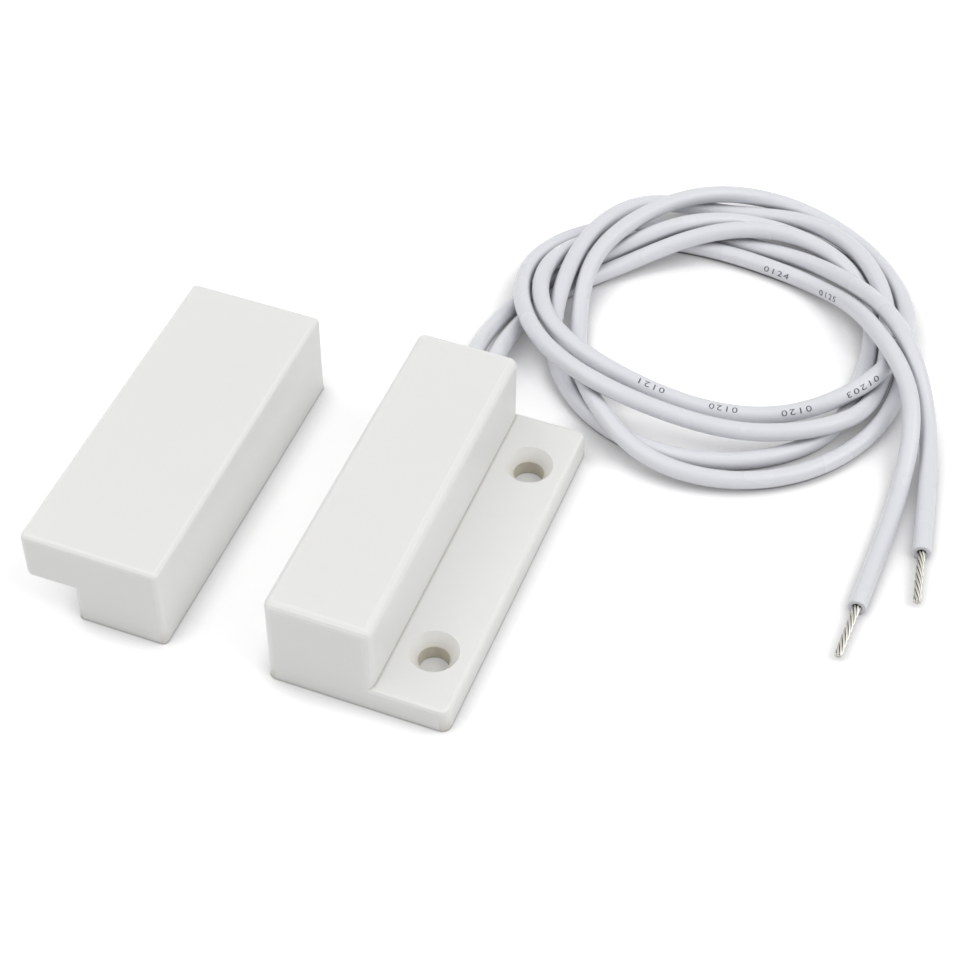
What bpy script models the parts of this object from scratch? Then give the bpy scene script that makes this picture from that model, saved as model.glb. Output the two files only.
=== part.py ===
"""Magnetic door contact: a reed switch half with two leads, and its magnet half.

Metres, +Z up. Both halves lie on a table. The switch half stands on its open underside,
with its screw flange to the right. The magnet half stands on its narrow foot, with its
wide mounting face up. The leads leave the back of the switch half and lie on the table in
two loose turns each. The origin is on the table, in the middle of the box round the halves.
"""

from math import cos, pi, sin

import bmesh
import bpy
import numpy as np
from mathutils import Matrix, Vector

MM = 0.001

# Switch half, outside
SWITCH_LENGTH = 43.3 * MM
BLOCK_WIDTH = 12.1 * MM
FLANGE_WIDTH = 8.5 * MM
SWITCH_HEIGHT = 12.35 * MM
FLANGE_THICKNESS = 3.3 * MM
BLOCK_EDGE_RADIUS = 0.95 * MM
FLANGE_CORNER_RADIUS = 1.0 * MM
FLANGE_EDGE_RADIUS = 0.5 * MM
SCREW_HOLE_DIAMETER = 3.5 * MM
COUNTERSINK_DIAMETER = 5.55 * MM
COUNTERSINK_DEPTH = 1.45 * MM
SCREW_HOLE_PITCH = 28.8 * MM
SCREW_HOLE_FROM_EDGE = 4.45 * MM

# Switch half, inside
SIDE_WALL = 1.5 * MM
END_WALL = 1.7 * MM
CEILING = 1.6 * MM
WIRING_HEIGHT = 6.0 * MM
RIB_THICKNESS = 1.2 * MM
RIB_BELOW_CAPSULE_TOP = 0.5 * MM
RIB_PAST_LEAD = 0.55 * MM
POTTING_RECESS = 0.4 * MM

# Reed capsule, with its two blades and wires
CAPSULE_LENGTH = 14.0 * MM
CAPSULE_DIAMETER = 2.2 * MM
GLASS_WALL = 0.25 * MM
SEAL_LENGTH = 3.0 * MM
REED_WIRE_DIAMETER = 0.6 * MM
BLADE_WIDTH = 1.2 * MM
BLADE_THICKNESS = 0.2 * MM
BLADE_OVERLAP = 1.2 * MM
CONTACT_GAP = 0.12 * MM

# Splices, leads and their conductors
SPLICE_LENGTH = 5.0 * MM
SPLICE_WALL = 0.35 * MM
CRIMP_DEPTH = 0.15 * MM
CRIMP_TOOL_DIAMETER = 1.6 * MM
LEAD_DIAMETER = 2.1 * MM
LEAD_SPACING = 2.6 * MM
CONDUCTOR_DIAMETER = 0.96 * MM
OUTER_STRIP = 7.0 * MM
STRANDS_IN_RING = 6
STRAND_GAP = 0.03 * MM
STRAND_LAY = 6.5 * MM

# Magnet half
MAGNET_HALF_LENGTH = 42.2 * MM
MAGNET_HALF_WIDTH = 16.25 * MM
MAGNET_HALF_HEIGHT = 11.3 * MM
PLATE_THICKNESS = 6.6 * MM
FOOT_WIDTH = 10.55 * MM
MAGNET_HALF_EDGE_RADIUS = 0.6 * MM
BAR_LENGTH = 30.0 * MM
BAR_WIDTH = 6.0 * MM
BAR_HEIGHT = 5.0 * MM
BAR_EDGE = 0.3 * MM
POCKET_SIDE_ROOM = 0.5 * MM
CRUSH_RIB_WIDTH = 0.8 * MM
CRUSH_RIB_SPREAD = 18.0 * MM
PLUG_THICKNESS = 1.6 * MM

# How the two halves lie
HALVES_GAP = 11.95 * MM
MAGNET_HALF_SHIFT = -0.75 * MM

# How the wiring shares the room that the capsule and splices leave in the cavity
FRONT_REED_WIRE_SHARE = 0.46
BACK_REED_WIRE_SHARE = 0.34
INNER_STRIP_SHARE = 0.23

# Clearances
SEAT_GAP = 0.2 * MM
WIRE_GAP = 0.15 * MM
BUTT_GAP = 0.3 * MM
THROUGH = 1.0 * MM

# Lead routes, in millimetres from the middle of the back face at table height
ROUTE_A = [
    (1.3, 0.0, 6.0), (1.3, 3.0, 5.9), (0.2, 13.5, 1.8), (2.2, 21.6, 1.1), (8.9, 30.6, 1.5),
    (16.1, 36.7, 3.3), (25.2, 41.0, 3.5), (35.2, 38.4, 2.7), (40.1, 31.8, 1.4), (41.5, 22.2, 1.1),
    (40.2, 12.3, 1.1), (33.1, 4.8, 1.1), (23.3, 2.1, 1.1), (13.3, 4.8, 1.1), (6.5, 11.8, 1.4),
    (3.5, 22.4, 3.2), (4.4, 33.8, 3.9), (9.0, 41.8, 2.5), (17.6, 45.0, 1.1), (27.7, 45.6, 2.2),
    (37.2, 39.7, 3.4), (41.7, 32.3, 3.2), (43.8, 20.5, 1.5), (41.8, 13.0, 3.1), (33.1, 7.2, 3.3),
    (23.0, 5.6, 4.0), (13.0, 6.1, 5.6), (3.8, 12.0, 4.6), (-1.3, 21.5, 3.2), (0.2, 32.1, 1.3),
    (7.3, 38.0, 1.1), (18.7, 39.8, 1.1), (28.3, 39.0, 1.9), (37.5, 33.7, 4.6), (45.5, 25.1, 6.2),
    (50.5, 16.8, 2.8), (52.9, 8.0, 1.3), (54.7, -1.9, 1.1),
]
ROUTE_B = [
    (-1.3, 0.0, 6.0), (-1.3, 3.0, 5.9), (-2.3, 14.3, 1.7), (-0.1, 22.4, 1.1), (5.9, 30.8, 1.6),
    (13.3, 37.5, 3.6), (22.3, 42.7, 2.4), (32.1, 42.1, 1.3), (40.4, 36.0, 1.1), (45.5, 26.2, 1.1),
    (45.3, 15.5, 1.1), (40.2, 6.2, 1.1), (31.5, 0.6, 1.3), (20.9, 0.1, 2.5), (13.5, 5.2, 3.4),
    (7.9, 16.0, 1.1), (5.7, 26.7, 3.6), (8.9, 36.8, 4.4), (15.2, 44.6, 3.6), (24.6, 48.3, 1.9),
    (34.8, 45.4, 1.1), (40.1, 40.1, 1.9), (44.8, 28.8, 3.6), (42.3, 18.7, 3.7), (34.4, 12.5, 1.7),
    (24.1, 10.4, 1.4), (13.8, 10.2, 3.8), (4.8, 14.6, 4.4), (0.7, 24.1, 3.5), (3.7, 32.9, 1.6),
    (13.2, 37.1, 1.1), (23.7, 37.3, 1.1), (33.3, 34.8, 1.8), (41.5, 26.1, 5.8), (48.1, 17.0, 5.1),
    (50.0, 8.3, 1.8), (50.2, -1.5, 1.1), (50.0, -12.1, 1.1),
]
LEAD_POINTS = 80

# Places that follow from the sizes, across (X) and along (Y)
HALVES_WIDTH = MAGNET_HALF_WIDTH + HALVES_GAP + BLOCK_WIDTH + FLANGE_WIDTH
FRONT = min(-SWITCH_LENGTH / 2, MAGNET_HALF_SHIFT - MAGNET_HALF_LENGTH / 2)
BACK = max(SWITCH_LENGTH / 2, MAGNET_HALF_SHIFT + MAGNET_HALF_LENGTH / 2)
SWITCH_Y = -(FRONT + BACK) / 2
SWITCH_BACK = SWITCH_Y + SWITCH_LENGTH / 2
SWITCH_FRONT = SWITCH_Y - SWITCH_LENGTH / 2
BLOCK_LEFT = -HALVES_WIDTH / 2 + MAGNET_HALF_WIDTH + HALVES_GAP
BLOCK_RIGHT = BLOCK_LEFT + BLOCK_WIDTH
BLOCK_MIDDLE = BLOCK_LEFT + BLOCK_WIDTH / 2
FLANGE_RIGHT = BLOCK_RIGHT + FLANGE_WIDTH
CAVITY_LEFT = BLOCK_LEFT + SIDE_WALL
CAVITY_RIGHT = BLOCK_RIGHT - SIDE_WALL
CAVITY_FRONT = SWITCH_FRONT + END_WALL
CAVITY_BACK = SWITCH_BACK - END_WALL
CAVITY_TOP = SWITCH_HEIGHT - CEILING
LINE_A = BLOCK_MIDDLE + LEAD_SPACING / 2
LINE_B = BLOCK_MIDDLE - LEAD_SPACING / 2
CAPSULE_RADIUS = CAPSULE_DIAMETER / 2
LEAD_RADIUS = LEAD_DIAMETER / 2
CONDUCTOR_RADIUS = CONDUCTOR_DIAMETER / 2
REED_WIRE_RADIUS = REED_WIRE_DIAMETER / 2
CAPSULE_FRONT = SWITCH_Y - CAPSULE_LENGTH / 2
CAPSULE_BACK = SWITCH_Y + CAPSULE_LENGTH / 2
SPLICE_BORE_RADIUS = CONDUCTOR_RADIUS + WIRE_GAP
SPLICE_RADIUS = SPLICE_BORE_RADIUS + SPLICE_WALL
BEND_REACH = LEAD_SPACING / 2 + CONDUCTOR_RADIUS + WIRE_GAP
FRONT_ROOM = CAPSULE_FRONT - CAVITY_FRONT - SPLICE_LENGTH - BEND_REACH
BACK_ROOM = CAVITY_BACK - CAPSULE_BACK - SPLICE_LENGTH
SPLICE_A_Y = CAPSULE_FRONT - FRONT_REED_WIRE_SHARE * FRONT_ROOM - SPLICE_LENGTH / 2
SPLICE_B_Y = CAPSULE_BACK + BACK_REED_WIRE_SHARE * BACK_ROOM + SPLICE_LENGTH / 2
BEND_Y = SPLICE_A_Y - SPLICE_LENGTH / 2 - WIRE_GAP
TAIL_A_START = BEND_Y + BUTT_GAP
TAIL_B_START = SPLICE_B_Y + SPLICE_LENGTH / 2 + INNER_STRIP_SHARE * BACK_ROOM
FOOT_RIGHT = -HALVES_WIDTH / 2 + MAGNET_HALF_WIDTH
FOOT_LEFT = FOOT_RIGHT - FOOT_WIDTH
PLATE_LEFT = FOOT_RIGHT - MAGNET_HALF_WIDTH
MAGNET_Y = SWITCH_Y + MAGNET_HALF_SHIFT
BAR_X = (FOOT_LEFT + FOOT_RIGHT) / 2
BAR_BOTTOM = POTTING_RECESS + PLUG_THICKNESS + SEAT_GAP


def clear_scene():
    """Removes every object and makes the two collections."""
    for obj in list(bpy.data.objects):
        bpy.data.objects.remove(obj)
    for name in ("magnetic_door_contact", "cutters"):
        bpy.context.scene.collection.children.link(bpy.data.collections.new(name))


def material(name, colour, roughness, metallic=0.0, transmission=0.0):
    """A plain Principled surface."""
    surface = bpy.data.materials.new(name)
    surface.use_nodes = True
    shader = surface.node_tree.nodes["Principled BSDF"]
    shader.inputs["Base Color"].default_value = (*colour, 1.0)
    shader.inputs["Roughness"].default_value = roughness
    shader.inputs["Metallic"].default_value = metallic
    shader.inputs["Transmission Weight"].default_value = transmission
    surface.diffuse_color = (*colour, 1.0)
    return surface


def add_object(name, data, surface, location=(0, 0, 0)):
    """Puts a mesh or a curve in the scene: a part if it has a surface, a cutter if not."""
    obj = bpy.data.objects.new(name, data)
    obj.location = location
    if surface is None:
        obj.hide_render = True
        obj.display_type = "WIRE"
        bpy.data.collections["cutters"].objects.link(obj)
    else:
        data.materials.append(surface)
        bpy.data.collections["magnetic_door_contact"].objects.link(obj)
    return obj


def add_mesh(name, bm, surface, location=(0, 0, 0)):
    """Turns an edited mesh into an object, with round faces smooth and real edges sharp."""
    bmesh.ops.recalc_face_normals(bm, faces=bm.faces)
    mesh = bpy.data.meshes.new(name)
    bm.to_mesh(mesh)
    bm.free()
    mesh.shade_smooth()
    mesh.set_sharp_from_angle(angle=pi / 6)
    return add_object(name, mesh, surface, location)


def cube_of(size):
    """A cube mesh scaled to the size, centred on its own origin."""
    bm = bmesh.new()
    bmesh.ops.create_cube(bm, size=1.0)
    bmesh.ops.transform(bm, matrix=Matrix.Diagonal((*size, 1.0)), verts=bm.verts)
    return bm


def round_edges(bm, edges, radius, segments=4):
    """Rounds the edges, held under half of the shortest one."""
    reach = min(edge.calc_length() for edge in edges) / 2
    bmesh.ops.bevel(
        bm, geom=edges, offset=min(radius, 0.98 * reach), segments=segments, profile=0.5,
        affect="EDGES", clamp_overlap=True,
    )


def upright(edge):
    """Whether an edge runs along Z."""
    first, second = edge.verts
    return abs(first.co.z - second.co.z) > 0.9 * edge.calc_length()


def across(edge):
    """Whether an edge runs along X."""
    first, second = edge.verts
    return abs(first.co.x - second.co.x) > 0.9 * edge.calc_length()


def at_height(edge, height):
    """Whether both ends of an edge are at the height."""
    return all(abs(vert.co.z - height) < 1e-7 for vert in edge.verts)


def box(name, low, high, surface=None):
    """A plain box between two corners."""
    low, high = Vector(low), Vector(high)
    return add_mesh(name, cube_of(high - low), surface, (low + high) / 2)


def rod(name, start, end, radius, surface=None, sides=24):
    """A straight round rod between two points."""
    start, end = Vector(start), Vector(end)
    run = end - start
    bm = bmesh.new()
    bmesh.ops.create_cone(
        bm, cap_ends=True, segments=sides, radius1=radius, radius2=radius, depth=run.length
    )
    turn = Vector((0, 0, 1)).rotation_difference(run).to_matrix()
    bmesh.ops.rotate(bm, cent=(0, 0, 0), matrix=turn, verts=bm.verts)
    return add_mesh(name, bm, surface, (start + end) / 2)


def turned(name, profile, location, surface=None, along_y=False, steps=24):
    """A turned shape: radius and height pairs that run down the outside.

    A profile that starts off the axis is a ring and closes on itself.
    """
    edges = [(i, i + 1) for i in range(len(profile) - 1)]
    if profile[0][0] > 0:
        edges.append((len(profile) - 1, 0))
    mesh = bpy.data.meshes.new(name)
    mesh.from_pydata([(radius, 0, height) for radius, height in profile], edges, [])
    obj = add_object(name, mesh, surface, location)
    screw = obj.modifiers.new("turn", "SCREW")
    screw.steps = steps
    screw.render_steps = steps
    screw.use_merge_vertices = True
    screw.merge_threshold = 0.000001
    if along_y:
        obj.rotation_euler.x = -pi / 2
    return obj


def tube(name, points, radius, surface, location=(0, 0, 0)):
    """A round wire or lead through the points."""
    curve = bpy.data.curves.new(name, "CURVE")
    curve.dimensions = "3D"
    curve.bevel_depth = radius
    curve.bevel_resolution = 2
    curve.use_fill_caps = True
    spline = curve.splines.new("POLY")
    spline.points.add(len(points) - 1)
    for point, place in zip(spline.points, points):
        point.co = (*place, 1.0)
    return add_object(name, curve, surface, location)


def combine(target, tool, operation="DIFFERENCE"):
    """Cuts the tool from the target, or joins it on."""
    step = target.modifiers.new(tool.name, "BOOLEAN")
    step.operation = operation
    step.solver = "EXACT"
    step.object = tool


def smooth_curve(route, count):
    """Even steps along the natural cubic curve through the route's points."""
    points = np.array(route)
    chord = np.linalg.norm(np.diff(points, axis=0), axis=1)
    knots = np.concatenate(([0.0], np.cumsum(chord)))
    last = len(points) - 1
    matrix = np.eye(last + 1)
    right = np.zeros_like(points)
    for i in range(1, last):
        before, after = chord[i - 1], chord[i]
        matrix[i, i - 1 : i + 2] = before, 2 * (before + after), after
        rise = (points[i + 1] - points[i]) / after
        right[i] = 6 * (rise - (points[i] - points[i - 1]) / before)
    bend = np.linalg.solve(matrix, right)
    at = np.linspace(0.0, knots[-1], count)
    span = np.clip(np.searchsorted(knots, at, side="right") - 1, 0, last - 1)
    width = chord[span][:, None]
    up = (at - knots[span])[:, None]
    down = width - up
    curve = (bend[span] * down**3 + bend[span + 1] * up**3) / (6 * width)
    curve += (points[span] / width - bend[span] * width / 6) * down
    curve += (points[span + 1] / width - bend[span + 1] * width / 6) * up
    return curve


def block_and_flange(plastic):
    """The switch half's outside: a tall rounded block joined to a low screw flange."""
    bm = cube_of((BLOCK_WIDTH, SWITCH_LENGTH, SWITCH_HEIGHT))
    edges = [e for e in bm.edges if upright(e) or at_height(e, SWITCH_HEIGHT / 2)]
    round_edges(bm, edges, BLOCK_EDGE_RADIUS)
    housing = add_mesh(
        "switch_housing", bm, plastic, (BLOCK_MIDDLE, SWITCH_Y, SWITCH_HEIGHT / 2)
    )
    plate_width = FLANGE_RIGHT - BLOCK_MIDDLE
    bm = cube_of((plate_width, SWITCH_LENGTH, FLANGE_THICKNESS))
    outer = [e for e in bm.edges if upright(e) and e.verts[0].co.x > 0]
    round_edges(bm, outer, FLANGE_CORNER_RADIUS)
    rim = [e for e in bm.edges if at_height(e, FLANGE_THICKNESS / 2)]
    edge_radius = min(FLANGE_EDGE_RADIUS, FLANGE_THICKNESS / 2)
    bmesh.ops.bevel(
        bm, geom=rim, offset=edge_radius, segments=2, profile=0.5, affect="EDGES"
    )
    flange = add_mesh(
        "flange", bm, None, (BLOCK_MIDDLE + plate_width / 2, SWITCH_Y, FLANGE_THICKNESS / 2)
    )
    combine(housing, flange, "UNION")
    return housing


def cradle_ribs(name, room):
    """The two ribs that hang from the ceiling over the capsule's ends, with room round them."""
    found = []
    bottom = WIRING_HEIGHT + CAPSULE_RADIUS - RIB_BELOW_CAPSULE_TOP
    for side in (-1, 1):
        middle = SWITCH_Y + side * (CAPSULE_LENGTH - SEAL_LENGTH) / 2
        low = (CAVITY_LEFT - THROUGH / 2, middle - RIB_THICKNESS / 2 - room, bottom - room)
        high = (
            LINE_A + LEAD_RADIUS + RIB_PAST_LEAD + room,
            middle + RIB_THICKNESS / 2 + room,
            CAVITY_TOP + THROUGH / 2,
        )
        found.append(box(f"{name}_{'front' if side < 0 else 'back'}", low, high))
    return found


def screw_hole_tool(name, place):
    """A turned tool for a countersunk hole through the flange."""
    countersink, hole = COUNTERSINK_DIAMETER / 2, SCREW_HOLE_DIAMETER / 2
    top = FLANGE_THICKNESS
    profile = [
        (0, top + THROUGH),
        (countersink, top + THROUGH),
        (countersink, top),
        (hole, top - COUNTERSINK_DEPTH),
        (hole, -THROUGH),
        (0, -THROUGH),
    ]
    return turned(name, profile, (*place, 0), steps=40)


def make_switch_housing(plastic):
    """The moulding: block, flange, cavity, cradle ribs, lead holes and screw holes."""
    housing = block_and_flange(plastic)
    low = (CAVITY_LEFT, CAVITY_FRONT, -THROUGH)
    combine(housing, box("cavity", low, (CAVITY_RIGHT, CAVITY_BACK, CAVITY_TOP)))
    for rib in cradle_ribs("rib", 0.0):
        combine(housing, rib, "UNION")
    past = SWITCH_BACK + THROUGH
    lead_hole = LEAD_RADIUS + WIRE_GAP
    runs = (
        ("lead_a_hole", LINE_A, TAIL_A_START, past, lead_hole),
        ("lead_b_hole", LINE_B, TAIL_B_START, past, lead_hole),
        ("capsule_seat", LINE_B, CAPSULE_FRONT, CAPSULE_BACK, CAPSULE_RADIUS + WIRE_GAP),
    )
    for name, x, start, end, radius in runs:
        combine(housing, rod(name, (x, start, WIRING_HEIGHT), (x, end, WIRING_HEIGHT), radius))
    for name, side in (("screw_hole_front", -1), ("screw_hole_back", 1)):
        place = (FLANGE_RIGHT - SCREW_HOLE_FROM_EDGE, SWITCH_Y + side * SCREW_HOLE_PITCH / 2)
        combine(housing, screw_hole_tool(name, place))
    return housing


def make_capsule(glass):
    """The glass capsule: a thin tube that closes to a solid seal round each wire."""
    half = CAPSULE_LENGTH / 2
    dome = CAPSULE_RADIUS * 0.7
    bore = REED_WIRE_RADIUS + WIRE_GAP
    inner = CAPSULE_RADIUS - GLASS_WALL
    chamber = half - SEAL_LENGTH
    turns = [i * pi / 8 for i in range(5)]
    top = [
        (bore + (CAPSULE_RADIUS - bore) * sin(t), half - dome + dome * cos(t)) for t in turns
    ]
    bottom = [(radius, -height) for radius, height in reversed(top)]
    inside = [
        (bore, -chamber - dome / 2),
        (inner, -chamber),
        (inner, chamber),
        (bore, chamber + dome / 2),
    ]
    place = (LINE_B, SWITCH_Y, WIRING_HEIGHT)
    return turned("glass_capsule", top + bottom + inside, place, glass, along_y=True)


def make_reeds(metal):
    """Each reed: the round wire through its seal, and the flat blade that moves."""
    blade_length = CAPSULE_LENGTH / 2 - SEAL_LENGTH + BLADE_OVERLAP / 2
    for name, side, splice in (("a", -1, SPLICE_A_Y), ("b", 1, SPLICE_B_Y)):
        root = SWITCH_Y + side * (CAPSULE_LENGTH / 2 - SEAL_LENGTH)
        end = splice - side * BUTT_GAP / 2
        start = (LINE_B, root + side * WIRE_GAP, WIRING_HEIGHT)
        rod(f"reed_wire_{name}", start, (LINE_B, end, WIRING_HEIGHT), REED_WIRE_RADIUS, metal)
        bm = cube_of((BLADE_THICKNESS, blade_length, BLADE_WIDTH))
        corners = [e for e in bm.edges if across(e) and e.verts[0].co.y * side < 0]
        round_edges(bm, corners, 0.3 * BLADE_WIDTH)
        offset = side * (CONTACT_GAP + BLADE_THICKNESS) / 2
        bmesh.ops.translate(bm, vec=(offset, -side * blade_length / 2, 0), verts=bm.verts)
        add_mesh(f"reed_blade_{name}", bm, metal, (LINE_B, root, WIRING_HEIGHT))


def make_splices(metal):
    """The crimp barrels that join each reed wire to a lead's conductor."""
    half, edge = SPLICE_LENGTH / 2, SPLICE_WALL / 3
    profile = [
        (SPLICE_RADIUS - edge, half),
        (SPLICE_RADIUS, half - edge),
        (SPLICE_RADIUS, edge - half),
        (SPLICE_RADIUS - edge, -half),
        (SPLICE_BORE_RADIUS, -half),
        (SPLICE_BORE_RADIUS, half),
    ]
    reach = SPLICE_RADIUS + CRIMP_TOOL_DIAMETER / 2 - CRIMP_DEPTH
    for name, y in (("a", SPLICE_A_Y), ("b", SPLICE_B_Y)):
        place = (LINE_B, y, WIRING_HEIGHT)
        barrel = turned(f"splice_{name}", profile, place, metal, along_y=True)
        for number, side in enumerate((-1, 1)):
            dent_y = y + side * SPLICE_LENGTH / 4
            low = (LINE_B - SPLICE_RADIUS, dent_y, WIRING_HEIGHT + reach)
            high = (LINE_B + SPLICE_RADIUS, dent_y, WIRING_HEIGHT + reach)
            tool = rod(f"crimp_{name}_{number}", low, high, CRIMP_TOOL_DIAMETER / 2)
            combine(barrel, tool)


def make_inner_leads(insulation, copper):
    """The ends of the leads inside the housing, stripped and bent to their splices."""
    past = SWITCH_BACK - BUTT_GAP / 2
    for name, x, start in (("a", LINE_A, TAIL_A_START), ("b", LINE_B, TAIL_B_START)):
        ends = [(x, start, WIRING_HEIGHT), (x, past, WIRING_HEIGHT)]
        rod(f"lead_{name}_tail", *ends, LEAD_RADIUS, insulation)
    turns = [i * pi / 10 for i in range(11)]
    radius = LEAD_SPACING / 2
    bend = [(radius * cos(t), -radius * sin(t), 0) for t in turns]
    start = (radius, TAIL_A_START - WIRE_GAP - BEND_Y, 0)
    end = (-radius, SPLICE_A_Y - BUTT_GAP / 2 - BEND_Y, 0)
    place = (BLOCK_MIDDLE, BEND_Y, WIRING_HEIGHT)
    tube("conductor_a_tail", [start, *bend, end], CONDUCTOR_RADIUS, copper, place)
    low = (LINE_B, SPLICE_B_Y + BUTT_GAP / 2, WIRING_HEIGHT)
    high = (LINE_B, TAIL_B_START - WIRE_GAP, WIRING_HEIGHT)
    rod("conductor_b_tail", low, high, CONDUCTOR_RADIUS, copper)


def wiring_tools():
    """Tools that leave room in the potting for all of the wiring."""
    lead, wire = LEAD_RADIUS + WIRE_GAP, CONDUCTOR_RADIUS + WIRE_GAP
    reed = REED_WIRE_RADIUS + WIRE_GAP
    splice = SPLICE_RADIUS + WIRE_GAP
    capsule = CAPSULE_RADIUS + WIRE_GAP
    half_splice = SPLICE_LENGTH / 2 + WIRE_GAP
    steps = [
        (CAVITY_BACK + THROUGH, lead),
        (TAIL_B_START - WIRE_GAP, wire),
        (SPLICE_B_Y + half_splice, splice),
        (SPLICE_B_Y - half_splice, reed),
        (CAPSULE_BACK + WIRE_GAP, capsule),
        (CAPSULE_FRONT - WIRE_GAP, reed),
        (SPLICE_A_Y + half_splice, splice),
        (SPLICE_A_Y - half_splice, wire),
    ]
    profile = [(0, steps[0][0])]
    ends = [y for y, radius in steps[1:]] + [BEND_Y]
    for (start, radius), end in zip(steps, ends):
        profile += [(radius, start), (radius, end)]
    profile.append((0, BEND_Y))
    straight = turned("line_b_room", profile, (LINE_B, 0, WIRING_HEIGHT), along_y=True)
    profile = [
        (0, CAVITY_BACK + THROUGH),
        (lead, CAVITY_BACK + THROUGH),
        (lead, TAIL_A_START - WIRE_GAP),
        (wire, TAIL_A_START - WIRE_GAP),
        (wire, BEND_Y),
        (0, BEND_Y),
    ]
    beside = turned("line_a_room", profile, (LINE_A, 0, WIRING_HEIGHT), along_y=True)
    low = (BLOCK_MIDDLE, BEND_Y, WIRING_HEIGHT - wire)
    high = (BLOCK_MIDDLE, BEND_Y, WIRING_HEIGHT + wire)
    pocket = rod("bend_room", low, high, LEAD_SPACING / 2 + wire, sides=32)
    return straight, beside, pocket


def make_potting(resin):
    """Two pours of resin that meet at the wiring: a bed under the ceiling and a cap below."""
    left, right = CAVITY_LEFT + SEAT_GAP, CAVITY_RIGHT - SEAT_GAP
    front, back = CAVITY_FRONT + SEAT_GAP, CAVITY_BACK - SEAT_GAP
    split = SEAT_GAP / 2
    bed = box(
        "potting_bed",
        (left, front, WIRING_HEIGHT + split),
        (right, back, CAVITY_TOP - SEAT_GAP),
        resin,
    )
    cap = box(
        "potting_cap", (left, front, POTTING_RECESS), (right, back, WIRING_HEIGHT - split), resin
    )
    for rib in cradle_ribs("rib_room", SEAT_GAP):
        combine(bed, rib)
    for tool in wiring_tools():
        combine(bed, tool)
        combine(cap, tool)


def make_leads(insulation, copper):
    """The two free leads, with their stripped and twisted ends."""
    exit_place = Vector((BLOCK_MIDDLE, SWITCH_BACK, 0))
    for name, route in (("a", ROUTE_A), ("b", ROUTE_B)):
        points = smooth_curve(route, LEAD_POINTS) * MM
        points[0, 1] += BUTT_GAP / 2
        tube(f"lead_{name}", points, LEAD_RADIUS, insulation, exit_place)
        end = exit_place + Vector(points[-1])
        along = Vector(points[-1] - points[-2]).normalized()
        make_strands(name, end + along * WIRE_GAP, along, copper)


def make_strands(name, start, along, copper):
    """One straight strand with a ring of strands laid round it."""
    share = sin(pi / STRANDS_IN_RING)
    strand = (CONDUCTOR_DIAMETER * share - STRAND_GAP) / (1 + share)
    ring = (CONDUCTOR_DIAMETER - strand) / 2
    core = 2 * (ring - strand / 2 - STRAND_GAP)
    side = along.cross(Vector((0, 0, 1))).normalized()
    over = side.cross(along)
    straight = [Vector((0, 0, 0)), along * OUTER_STRIP]
    tube(f"strand_{name}_0", straight, core / 2, copper, start)
    steps = 16
    for number in range(STRANDS_IN_RING):
        points = []
        for i in range(steps + 1):
            run = OUTER_STRIP * i / steps
            turn = 2 * pi * (number / STRANDS_IN_RING + run / STRAND_LAY)
            points.append(along * run + (side * cos(turn) + over * sin(turn)) * ring)
        tube(f"strand_{name}_{number + 1}", points, strand / 2, copper, start)


def make_magnet_housing(plastic):
    """The magnet half's moulding: a wide plate on a narrow foot, with a pocket from below."""
    outline = [
        (FOOT_LEFT, 0),
        (FOOT_RIGHT, 0),
        (FOOT_RIGHT, MAGNET_HALF_HEIGHT),
        (PLATE_LEFT, MAGNET_HALF_HEIGHT),
        (PLATE_LEFT, MAGNET_HALF_HEIGHT - PLATE_THICKNESS),
        (FOOT_LEFT, MAGNET_HALF_HEIGHT - PLATE_THICKNESS),
    ]
    bm = bmesh.new()
    corners = [bm.verts.new((x - BAR_X, -MAGNET_HALF_LENGTH / 2, z)) for x, z in outline]
    swept = bmesh.ops.extrude_face_region(bm, geom=[bm.faces.new(corners)])
    moved = [item for item in swept["geom"] if isinstance(item, bmesh.types.BMVert)]
    bmesh.ops.translate(bm, vec=(0, MAGNET_HALF_LENGTH, 0), verts=moved)
    bmesh.ops.recalc_face_normals(bm, faces=bm.faces)
    outer = [e for e in bm.edges if e.is_convex and not at_height(e, 0)]
    round_edges(bm, outer, MAGNET_HALF_EDGE_RADIUS, segments=3)
    housing = add_mesh("magnet_housing", bm, plastic, (BAR_X, MAGNET_Y, 0))
    half = BAR_WIDTH / 2 + POCKET_SIDE_ROOM
    long = BAR_LENGTH / 2 + POCKET_SIDE_ROOM
    top = BAR_BOTTOM + BAR_HEIGHT + SEAT_GAP
    pocket = box(
        "pocket",
        (BAR_X - half, MAGNET_Y - long, -THROUGH),
        (BAR_X + half, MAGNET_Y + long, top),
    )
    combine(housing, pocket)
    for side in (-1, 1):
        for end in (-1, 1):
            wall = BAR_X + side * half
            reach = BAR_X + side * (BAR_WIDTH / 2 + SEAT_GAP)
            past = wall + side * THROUGH / 2
            y = MAGNET_Y + end * CRUSH_RIB_SPREAD / 2
            low = (min(past, reach), y - CRUSH_RIB_WIDTH / 2, BAR_BOTTOM)
            high = (max(past, reach), y + CRUSH_RIB_WIDTH / 2, top + THROUGH / 2)
            rib = box(f"crush_rib_{side + 1}_{end + 1}", low, high)
            combine(housing, rib, "UNION")
    return housing


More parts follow.
